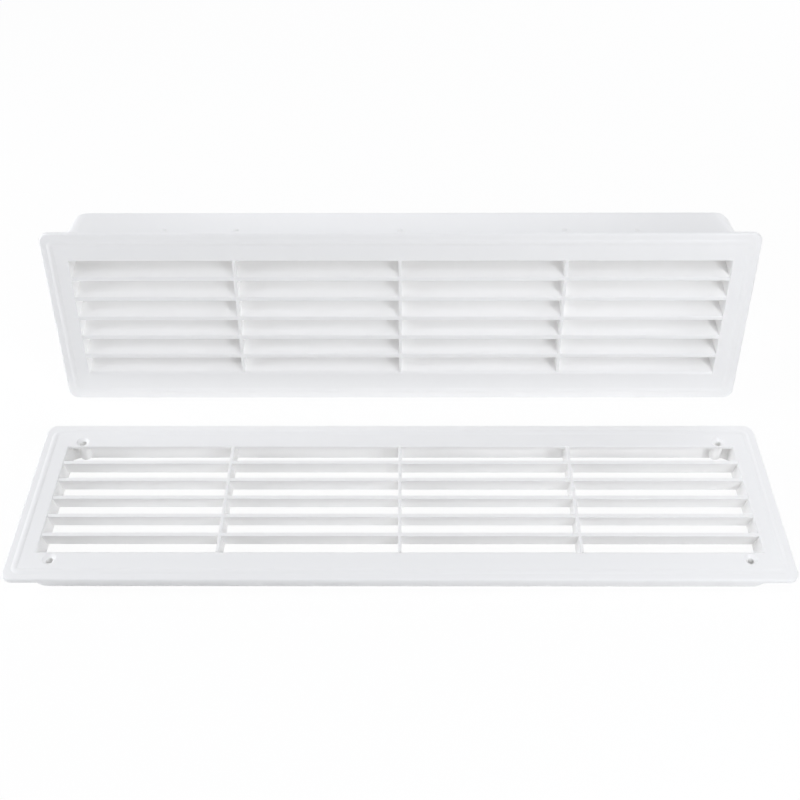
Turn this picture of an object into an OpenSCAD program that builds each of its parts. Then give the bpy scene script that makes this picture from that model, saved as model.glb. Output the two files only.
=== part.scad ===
// Door vent grille in two halves that slide together through a door from its two sides.
// The rear half lies on its short collar with its face up. The front half stands behind it on the
// lower edge of its flange and leans back on its deep collar.

/* [Flange] */
// Width of each half over its flange
flange_w = 455; // [400:1:520]
// Height of each half over its flange
flange_h = 124; // [115:1:150]
// Thickness of the plate
plate_t = 2; // [1.9:0.1:2.3]
// Radius of the flange's outer corners, seen from the front
flange_corner_r = 6.5; // [5:0.5:8]
// Depth of the flange's rim, which lies on the door and stands back past the plate
rim_depth = 2.5; // [2.4:0.1:3.5]
// Width of the rim
rim_w = 2.4; // [1.8:0.1:3.5]
// Radius of the rounded edge round the face
rim_r = 1.2; // [0.5:0.1:1.6]

/* [Raised bead round the face] */
// Distance from the flange's edge to the middle of the bead
bead_inset = 6.4; // [5.5:0.1:8]
// Width of the bead at its foot
bead_w = 3.8; // [2:0.1:4.4]
// Height of the bead above the face
bead_h = 0.4; // [0.2:0.05:0.8]
// Corner radius of the bead's middle line
bead_corner_r = 3; // [2.5:0.1:5]

/* [Opening and slats] */
// Margin from the flange's side edge to the opening
margin_side = 16.5; // [14.5:0.5:20]
// Margin above the opening
margin_top = 19.2; // [18.8:0.1:24]
// Margin below the opening
margin_bottom = 20.7; // [18.8:0.1:24]
// Radius of the rounded upper and side edges of the opening
opening_edge_r = 0.7; // [0.3:0.1:1]
// Radius of the rounded lip where the sill meets the face
sill_lip_r = 2.5; // [1:0.1:2.8]
// Rows of slots, one above the other
rows = 6; // [4:1:7]
// Columns of slots, side by side
columns = 4; // [2:1:6]
// Height of a slat's front strip
slat_lip = 2.9; // [2:0.1:4]
// Distance from the face back to the slats' front strips
strip_recess = 0.4; // [0.2:0.1:0.8]
// Thickness of a slat at its back edge
slat_back_t = 2.1; // [1.5:0.1:3]
// Depth of the rear half's slats
rear_slat_depth = 12.4; // [9:0.1:13.2]
// Depth of the front half's slats
front_slat_depth = 16; // [13:0.1:17]
// Slope of a slat's upper surface, which rises towards the back
slat_angle = 14.2; // [5:0.1:20]
// Radius of a slat's upper front edge
crest_r = 0.8; // [0.4:0.1:1]
// Radius of a slat's other edges
slat_edge_r = 0.4; // [0.2:0.1:0.6]
// Thickness of the dividers and the end ribs
rib_t = 2; // [1.4:0.1:3]
// Radius of the dividers' front edges
rib_edge_r = 0.4; // [0.2:0.1:0.6]
// Depth of the rear half's dividers and end ribs behind the face
rear_rib_depth = 14.8; // [14.2:0.1:16]
// Depth of the front half's dividers and end ribs behind the face
front_rib_depth = 18.4; // [18:0.1:20]

/* [Collars] */
// Distance from the flange's edge to the outside of the front collar
front_collar_inset = 7.5; // [6.5:0.1:8.5]
// Depth of the front half behind its face
front_depth = 47; // [36:0.5:60]
// Wall of either collar
collar_wall = 1.7; // [1.2:0.1:2]
// Gap all round between the front collar and the rear collar, which slides inside it
telescope_gap = 0.5; // [0.3:0.1:1]
// Depth of the rear half behind its face
rear_depth = 18.6; // [17:0.1:24]
// Outer corner radius of the collars
collar_corner_r = 12; // [8:0.5:14]

/* [Screws] */
// Distance from the flange's side edge to the screw holes
screw_inset_x = 25; // [24:0.5:30]
// Distance from the flange's upper and lower edges to the screw holes
screw_inset_y = 15; // [14.8:0.1:15.8]
// Diameter of the clearance hole for a screw
screw_hole_d = 4; // [3:0.1:4.2]
// Diameter of the countersink at the face
countersink_d = 8; // [6:0.1:8.4]
// Depth of the countersink
countersink_depth = 1.5; // [1:0.1:1.6]
// Outer diameter of the rear half's screw bosses
boss_d = 7; // [6:0.1:7.2]
// Depth of the rear half's bosses behind the face
boss_depth = 13; // [8:0.5:16]
// Outer diameter of the front half's screw posts
post_d = 5.4; // [4.6:0.1:5.8]
// Diameter of the pilot hole in a post
pilot_d = 2.6; // [2:0.1:3]
// Depth of the pilot hole from the post's end
pilot_depth = 20; // [10:1:24]
// Depth of the front half's posts behind the face
post_depth = 33; // [28:0.5:35]

/* [Grip pips on the front collar] */
// Diameter of a pip at its foot
pip_d = 4; // [3:0.1:5]
// Height of a pip
pip_h = 0.8; // [0.3:0.1:1]
// Distance from the back of the flange to the middle of the pips
pip_back = 19; // [4:0.5:24]
// Distance from the middle of the width to the outermost pips
pip_outer_x = 153; // [120:1:180]

/* [Arrangement] */
// Clear floor between the rear half's upper edge and the front half's lower edge
halves_gap = 44.6; // [20:0.1:90]

/* [Hidden] */
$fn = 64;
slack = 1;
opening_w = flange_w - 2 * margin_side;
opening_top = flange_h - margin_top;
slat_pitch = (opening_top - margin_bottom + slat_lip) / rows;
column_pitch = (opening_w + rib_t) / columns;
screw_x = flange_w / 2 - screw_inset_x;
screw_ys = [screw_inset_y, flange_h - screw_inset_y];
lean = atan(front_collar_inset / (front_depth - rim_depth));
front_reach = (flange_h - front_collar_inset) * sin(lean) + front_depth * cos(lean);
whole_depth = flange_h + halves_gap + front_reach;
white = [0.91, 0.915, 0.925];

halves = ["rear", "front"];
slat_numbers = [1 : rows - 1];
divider_numbers = [1 : columns - 1];

// Every half is drawn in its own face frame: x across, y up the face from the flange's lower
// edge, and z out of the face, which lies at z = 0. Sections are drawn in (y, z).

function inset(half) = half == "front" ? front_collar_inset
    : front_collar_inset + collar_wall + telescope_gap;
function depth(half) = half == "front" ? front_depth : rear_depth;
function slat_depth(half) = half == "front" ? front_slat_depth : rear_slat_depth;
function rib_depth(half) = half == "front" ? front_rib_depth : rear_rib_depth;
function rise(back) = back * tan(slat_angle);

// Height of slat i's upper front edge; slat 1 is the uppermost
function crest(i) = opening_top - i * slat_pitch + slat_lip;
function divider_x(i) = -(opening_w + rib_t) / 2 + i * column_pitch;

// How far a round of radius r reaches along the sides of corner b, whose neighbours are a and
// c, and where its middle lies
function unit(v) = v / norm(v);
function setback(a, b, c, r) = r / tan(acos(unit(a - b) * unit(c - b)) / 2);
function round_middle(a, b, c, r) =
    b + unit(unit(a - b) + unit(c - b)) * norm([r, setback(a, b, c, r)]);

// A convex outline with each corner rounded by its own radius
module rounded_outline(points, radii) {
    n = len(points);
    difference() {
        polygon(points);
        for (i = [0 : n - 1]) {
            a = points[(i + n - 1) % n];
            b = points[i];
            c = points[(i + 1) % n];
            s = setback(a, b, c, radii[i]);
            middle = round_middle(a, b, c, radii[i]);
            difference() {
                polygon([b + unit(a - b) * s, 2 * b - middle, b + unit(c - b) * s]);
                translate(middle) circle(radii[i]);
            }
        }
    }
}

module rounded_rect(w, h, r) {
    square([w - 2 * r, h], center = true);
    square([w, h - 2 * r], center = true);
    for (x = [-1, 1], y = [-1, 1]) translate([x * (w / 2 - r), y * (h / 2 - r)]) circle(r);
}

// Extrudes a section drawn in (y, z) across a width
module across(w) {
    rotate([90, 0, 90]) linear_extrude(w, center = true) children();
}

// Carries a profile, drawn in (distance out from the path, z), round a rounded rectangle
module round_the_face(w, h, r) {
    translate([0, flange_h / 2, 0]) for (side = [0, 180]) rotate([0, 0, side]) {
        translate([0, h / 2, 0]) across(w - 2 * r) children();
        translate([w / 2, 0, 0]) rotate([90, 0, 0]) linear_extrude(h - 2 * r, center = true) children();
        for (x = [-1, 1]) translate([x * (w / 2 - r), h / 2 - r, 0])
            rotate([0, 0, x < 0 ? 90 : 0]) rotate_extrude(angle = 90) translate([r, 0]) children();
    }
}

module rim_profile() {
    translate([-flange_corner_r, -plate_t]) square([flange_corner_r - rim_r, plate_t]);
    translate([-rim_w, -rim_depth]) square([rim_w, rim_depth - rim_r]);
    translate([-rim_r, -rim_r]) circle(rim_r);
}

module bead_profile() {
    r = (bead_w * bead_w / 4 + bead_h * bead_h) / (2 * bead_h);
    intersection() {
        translate([0, bead_h - r]) circle(r);
        translate([-bead_w, -bead_h]) square([2 * bead_w, 2 * bead_h]);
    }
}

// Section of the opening: its upper edge is rounded, and its lower edge is the sloping sill,
// which meets the face in a rounded lip
module opening_section() {
    deep = plate_t + slack;
    lip = [margin_bottom, 0];
    face_end = lip - [slack, 0];
    sill_end = lip + [rise(deep), -deep];
    s = setback(face_end, lip, sill_end, sill_lip_r);
    difference() {
        polygon([lip - [s, -slack], lip - [s, 0], lip + unit(sill_end - lip) * s, sill_end,
            [opening_top, -deep], [opening_top, -opening_edge_r], [opening_top + opening_edge_r, 0],
            [opening_top + opening_edge_r, slack]]);
        translate(round_middle(face_end, lip, sill_end, sill_lip_r)) circle(sill_lip_r);
        translate([opening_top + opening_edge_r, -opening_edge_r]) circle(opening_edge_r);
    }
}

// Plan of the opening, drawn in (x, z): its side walls, with their rounded front edges
module opening_plan() {
    r = opening_edge_r;
    deep = plate_t + slack;
    difference() {
        translate([-opening_w / 2 - r, -deep]) square([opening_w + 2 * r, deep + slack]);
        for (side = [-1, 1]) translate([side * (opening_w / 2 + r), -r]) {
            circle(r);
            translate([-r, -deep]) square([2 * r, deep]);
        }
    }
}

// Plan of a divider's front end, drawn in (x, z)
module divider_plan() {
    r = rib_edge_r;
    difference() {
        translate([-rib_t / 2, -plate_t]) square([rib_t, plate_t - strip_recess]);
        for (side = [-1, 1]) translate([side * (rib_t / 2 - r), -strip_recess - r]) difference() {
            translate([side < 0 ? -2 * r : 0, 0]) square(2 * r);
            circle(r);
        }
    }
}

// Extrudes a plan drawn in (x, z) over the flange's whole height
module up_the_face() {
    translate([0, flange_h, 0]) rotate([90, 0, 0]) linear_extrude(flange_h) children();
}

module opening() {
    intersection() {
        across(opening_w + 2 * opening_edge_r) opening_section();
        up_the_face() opening_plan();
    }
}

module at_the_screws(z) {
    for (x = [-screw_x, screw_x], y = screw_ys) translate([x, y, z]) children();
}

// The room inside a half's collar
module collar_bore(half) {
    in = inset(half) + collar_wall;
    translate([0, flange_h / 2, -depth(half) - slack]) linear_extrude(depth(half) - plate_t + slack)
        rounded_rect(flange_w - 2 * in, flange_h - 2 * in, collar_corner_r - collar_wall);
}

// The rear half lies on its collar; the front half leans back until its collar meets the floor
module placed(half) {
    y = -whole_depth / 2;
    color(white) {
        if (half == "rear") translate([0, y, rear_depth]) children();
        else translate([0, y + flange_h + halves_gap, rim_depth * sin(lean)])
            rotate([90 - lean, 0, 0]) children();
    }
}

module face_plate(half) {
    core = [flange_w - 2 * flange_corner_r, flange_h - 2 * flange_corner_r];
    placed(half) difference() {
        union() {
            round_the_face(flange_w, flange_h, flange_corner_r) rim_profile();
            translate([0, flange_h / 2, -plate_t]) linear_extrude(plate_t) square(core, center = true);
            round_the_face(flange_w - 2 * bead_inset, flange_h - 2 * bead_inset, bead_corner_r)
                bead_profile();
        }
        opening();
        if (half == "rear") {
            at_the_screws(-plate_t - slack) cylinder(h = plate_t + slack, d = screw_hole_d);
            at_the_screws(-countersink_depth)
                cylinder(h = countersink_depth, d1 = screw_hole_d, d2 = countersink_d);
        }
    }
}

module collar(half) {
    out = inset(half);
    placed(half) difference() {
        translate([0, flange_h / 2, -depth(half)]) linear_extrude(depth(half) - plate_t)
            rounded_rect(flange_w - 2 * out, flange_h - 2 * out, collar_corner_r);
        translate([0, 0, slack / 2]) collar_bore(half);
    }
}

module slat_section(half, i) {
    deep = slat_depth(half);
    front = crest(i);
    back = front + rise(deep);
    rounded_outline([[front, 0], [back, -deep], [back - slat_back_t, -deep], [front - slat_lip, 0]],
        [crest_r, slat_edge_r, slat_edge_r, slat_edge_r]);
}

module slat_form(half, i) {
    translate([0, 0, -strip_recess]) across(opening_w) slat_section(half, i);
}

// The sill is one more slat, in line with the lower edge of the opening, and starts behind the plate
module sill_form(half) {
    deep = slat_depth(half);
    across(opening_w) intersection() {
        slat_section(half, rows);
        translate([0, -deep]) square([flange_h, deep - plate_t]);
    }
}

module slat(half, i) { placed(half) slat_form(half, i); }
module sill(half) { placed(half) sill_form(half); }

// A rib behind the plate, from one long wall of the collar to the other
module rib(half, x) {
    intersection() {
        collar_bore(half);
        translate([x - rib_t / 2, 0, -rib_depth(half)])
            cube([rib_t, flange_h, rib_depth(half) - plate_t]);
    }
}

// A divider fills the opening's depth too, and is notched where the slats and the sill pass
module divider(half, i) {
    placed(half) difference() {
        union() {
            rib(half, divider_x(i));
            intersection() {
                across(opening_w) opening_section();
                translate([divider_x(i), 0, 0]) up_the_face() divider_plan();
            }
        }
        for (k = slat_numbers) slat_form(half, k);
        across(opening_w) slat_section(half, rows);
    }
}

module end_rib_left(half) { placed(half) rib(half, divider_x(0)); }
module end_rib_right(half) { placed(half) rib(half, divider_x(columns)); }

// Tubes under the rear half's holes, cut flat where they meet the collar and the sill
module screw_bosses() {
    placed("rear") difference() {
        intersection() {
            collar_bore("rear");
            at_the_screws(-boss_depth) cylinder(h = boss_depth - plate_t, d = boss_d);
        }
        at_the_screws(-boss_depth - slack) cylinder(h = boss_depth + slack, d = screw_hole_d);
        sill_form("rear");
    }
}

// Posts with a pilot hole, which the screws from the rear half bite into
module screw_posts() {
    placed("front") difference() {
        at_the_screws(-post_depth) cylinder(h = post_depth - plate_t, d = post_d);
        at_the_screws(-post_depth - slack) cylinder(h = pilot_depth + slack, d = pilot_d);
        sill_form("front");
    }
}

module grip_pips() {
    r = (pip_d * pip_d / 4 + pip_h * pip_h) / (2 * pip_h);
    xs = concat([-pip_outer_x, pip_outer_x], [for (i = divider_numbers) divider_x(i)]);
    placed("front") for (x = xs, side = [-1, 1])
        translate([x, flange_h / 2 + side * (flange_h / 2 - front_collar_inset), -plate_t - pip_back])
            rotate([-side * 90, 0, 0]) intersection() {
                translate([0, 0, pip_h - r]) sphere(r);
                translate([-pip_d, -pip_d, 0]) cube([2 * pip_d, 2 * pip_d, 2 * pip_h]);
            }
}

for (half = halves) {
    face_plate(half);
    collar(half);
    sill(half);
    end_rib_left(half);
    end_rib_right(half);
    for (i = slat_numbers) slat(half, i);
    for (i = divider_numbers) divider(half, i);
}
screw_bosses();  // rear_screw_bosses
screw_posts();  // front_screw_posts
grip_pips();  // front_grip_pips
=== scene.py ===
import math

import bpy
from mathutils import Matrix

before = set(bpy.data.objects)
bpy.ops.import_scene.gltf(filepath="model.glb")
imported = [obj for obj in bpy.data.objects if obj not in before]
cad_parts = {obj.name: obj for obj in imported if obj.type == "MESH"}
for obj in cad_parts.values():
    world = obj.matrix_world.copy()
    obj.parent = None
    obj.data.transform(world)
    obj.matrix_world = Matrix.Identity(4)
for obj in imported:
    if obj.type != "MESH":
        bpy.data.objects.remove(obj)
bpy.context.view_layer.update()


# A shader socket that can be used in plain arithmetic
class Socket:
    def __init__(self, tree, socket):
        self.tree = tree
        self.socket = socket

    # Adds a node: settings go on the node itself, values and links on its sockets
    # A socket is given by its name, with _ for a space, or by its number after a _
    def node(self, kind, settings=None, **values):
        made = self.tree.nodes.new(kind)
        for name, value in (settings or {}).items():
            setattr(made, name, value)
        for name, value in values.items():
            key = int(name[1:]) if name[0] == "_" else name.replace("_", " ")
            if isinstance(value, Socket):
                self.tree.links.new(value.socket, made.inputs[key])
            else:
                made.inputs[key].default_value = value
        return made

    def out(self, made, name=0):
        return Socket(self.tree, made.outputs[name])

    def maths(self, operation, a, b):
        return self.out(self.node("ShaderNodeMath", {"operation": operation}, _0=a, _1=b))

    def __add__(self, other):
        return self.maths("ADD", self, other)

    def __radd__(self, other):
        return self.maths("ADD", other, self)

    def __sub__(self, other):
        return self.maths("SUBTRACT", self, other)

    def __rsub__(self, other):
        return self.maths("SUBTRACT", other, self)

    def __mul__(self, other):
        return self.maths("MULTIPLY", self, other)

    def __rmul__(self, other):
        return self.maths("MULTIPLY", other, self)


def newMaterial(name):
    material = bpy.data.materials.new(name)
    material.use_nodes = True
    material.node_tree.nodes.clear()
    return material, Socket(material.node_tree, None)


# Turns by degrees about one axis
def turned(degrees, axis):
    return Matrix.Rotation(math.radians(degrees), 4, axis)


# Camera, as the photograph was taken: a 50 mm lens, seen from above the front edge
camera = {
    "place": (0.0039, -0.50086, 0.52831),
    "pitchDown": 43.811,
    "turn": 0.439,
    "roll": -0.316,
    "lens": 50,
    "nearest": 0.01,
}


def makeCamera():
    data = bpy.data.cameras.new("camera")
    data.lens = camera["lens"]
    data.clip_start = camera["nearest"]
    made = bpy.data.objects.new("camera", data)
    turn = turned(camera["turn"], "Z")
    tilt = turned(90 - camera["pitchDown"], "X")
    roll = turned(camera["roll"], "Z")
    made.matrix_world = Matrix.Translation(camera["place"]) @ turn @ tilt @ roll
    bpy.context.scene.collection.objects.link(made)
    bpy.context.scene.camera = made


makeCamera()
print("camera made")


# White moulded plastic: satin, with a faint unevenness from the mould
# Patches change its colour and gloss, grain and ripples only its surface
whitePlastic = {
    "colour": (0.945, 0.94, 0.93),
    "patchColour": (0.939, 0.935, 0.926),
    "roughness": 0.38,
    "roughnessSpread": 0.06,
    "ior": 1.49,
    "patchSize": 0.03,
    "patchDetail": 3.0,
    "grainSize": 0.0007,
    "grainDetail": 2.0,
    "grainHeight": 0.000004,
    "rippleSize": 0.012,
    "rippleDetail": 1.0,
    "rippleHeight": 0.00001,
}


def makeWhitePlastic():
    p = whitePlastic
    material, s = newMaterial("white_plastic")
    at = s.out(s.node("ShaderNodeTexCoord"), "Object")

    def noise(size, detail):
        return s.out(s.node("ShaderNodeTexNoise", Vector=at, Scale=1 / size, Detail=detail), "Fac")

    patches = noise(p["patchSize"], p["patchDetail"])
    grain = noise(p["grainSize"], p["grainDetail"])
    ripple = noise(p["rippleSize"], p["rippleDetail"])
    tone = s.node("ShaderNodeMix", {"data_type": "RGBA"},
        _0=patches, _6=(*p["colour"], 1), _7=(*p["patchColour"], 1))  # 6 and 7 are its two colours
    height = grain * p["grainHeight"] + ripple * p["rippleHeight"]
    bump = s.node("ShaderNodeBump", Strength=1.0, Distance=1.0, Height=height)
    shader = s.node("ShaderNodeBsdfPrincipled",
        Base_Color=s.out(tone, 2),
        Roughness=p["roughness"] + (patches - 0.5) * p["roughnessSpread"],
        IOR=p["ior"],
        Normal=s.out(bump))
    s.node("ShaderNodeOutputMaterial", Surface=s.out(shader))
    return material


plastic = makeWhitePlastic()
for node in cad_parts.values():
    node.data.materials.clear()
    node.data.materials.append(plastic)
print("plastic on", len(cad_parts), "nodes")


# Lamps: discs that face the part, each given by its side (degrees from the front, right is plus),
# its height (degrees above the table), its distance and size in metres and its power in watts
lamps = {
    "aim": (0, 0, 0.05),
    "colour": (0.95, 0.964, 1.0),
    "discs": {
        "leftLow": (-90, 15, 1.3, 0.9, 7.0),
        "leftBack": (-108, 38, 1.0, 0.3, 2.05),
        "leftFront": (-72, 22, 1.0, 0.3, 1.3),
        "frontRight": (40, 31, 1.0, 0.35, 3.8),
        "rightHigh": (30, 65, 1.3, 0.9, 5.8),
        "backRight": (135, 20, 1.3, 0.9, 4.8),
        "back": (180, 20, 1.3, 0.9, 2.9),
    },
    "notReflected": ("leftLow",),  # it would glare on the flat faces, seen from the right end
}


def makeLamp(name, side, height, distance, size, power):
    data = bpy.data.lights.new(name, "AREA")
    data.shape = "DISK"
    data.size = size
    data.energy = power
    data.color = lamps["colour"]
    made = bpy.data.objects.new(name, data)
    aimed = Matrix.Translation(lamps["aim"]) @ turned(side, "Z") @ turned(90 - height, "X")
    made.matrix_world = aimed @ Matrix.Translation((0, 0, distance))
    made.visible_glossy = name not in lamps["notReflected"]
    bpy.context.scene.collection.objects.link(made)


for name, disc in lamps["discs"].items():
    makeLamp(name, *disc)
print("lamps lit:", len(lamps["discs"]))


# The studio: a white background, and a white card as the table
studio = {
    "tableSize": 8.0,
    "tableColour": (0.86, 0.86, 0.86),
    "tableGlow": 0.112,
    "glowColour": (0.985, 1.0, 1.037),
    "shadowShare": 0.05,
    "reflectedShare": 0.6,
    "bounces": 12,
}


# 1 where the camera sees the background, and a share of that where it is only reflected
def seenBy(s):
    path = s.node("ShaderNodeLightPath")
    rays = [s.out(path, name) for name in ("Is Camera Ray", "Is Glossy Ray", "Is Transmission Ray")]
    return 1 - (1 - rays[0]) * (1 - rays[1] * studio["reflectedShare"]) * (1 - rays[2])


# The background is seen white and gives no light
def makeRoom():
    world = bpy.data.worlds.new("room")
    world.use_nodes = True
    world.node_tree.nodes.clear()
    s = Socket(world.node_tree, None)
    dark = s.node("ShaderNodeBackground", Color=(0, 0, 0, 1), Strength=0.0)
    white = s.node("ShaderNodeBackground", Color=(1, 1, 1, 1), Strength=1.0)
    both = s.node("ShaderNodeMixShader", Fac=seenBy(s), _1=s.out(dark), _2=s.out(white))
    s.node("ShaderNodeOutputWorld", Surface=s.out(both))
    bpy.context.scene.world = world


# The table lights the part as white card does, and is seen white with a faint shadow
def makeTable():
    bpy.ops.mesh.primitive_plane_add(size=studio["tableSize"])
    table = bpy.context.active_object
    table.name = "table"
    material, s = newMaterial("table_white")
    plain = s.node("ShaderNodeBsdfDiffuse", Color=(*studio["tableColour"], 1))
    lit = s.node("ShaderNodeEmission", Color=(*studio["glowColour"], 1), Strength=studio["tableGlow"])
    card = s.node("ShaderNodeAddShader", _0=s.out(plain), _1=s.out(lit))
    shadowed = s.node("ShaderNodeBsdfDiffuse", Color=(1, 1, 1, 1))
    glow = s.node("ShaderNodeEmission", Color=(1, 1, 1, 1), Strength=1.0)
    seen = s.node("ShaderNodeMixShader", Fac=studio["shadowShare"],
        _1=s.out(glow), _2=s.out(shadowed))
    both = s.node("ShaderNodeMixShader", Fac=seenBy(s), _1=s.out(card), _2=s.out(seen))
    s.node("ShaderNodeOutputMaterial", Surface=s.out(both))
    table.data.materials.append(material)


makeRoom()
makeTable()
bpy.context.scene.view_settings.view_transform = "Standard"
# Light goes to and fro many times between the white slats
bpy.context.scene.cycles.diffuse_bounces = studio["bounces"]
print("room and table made")
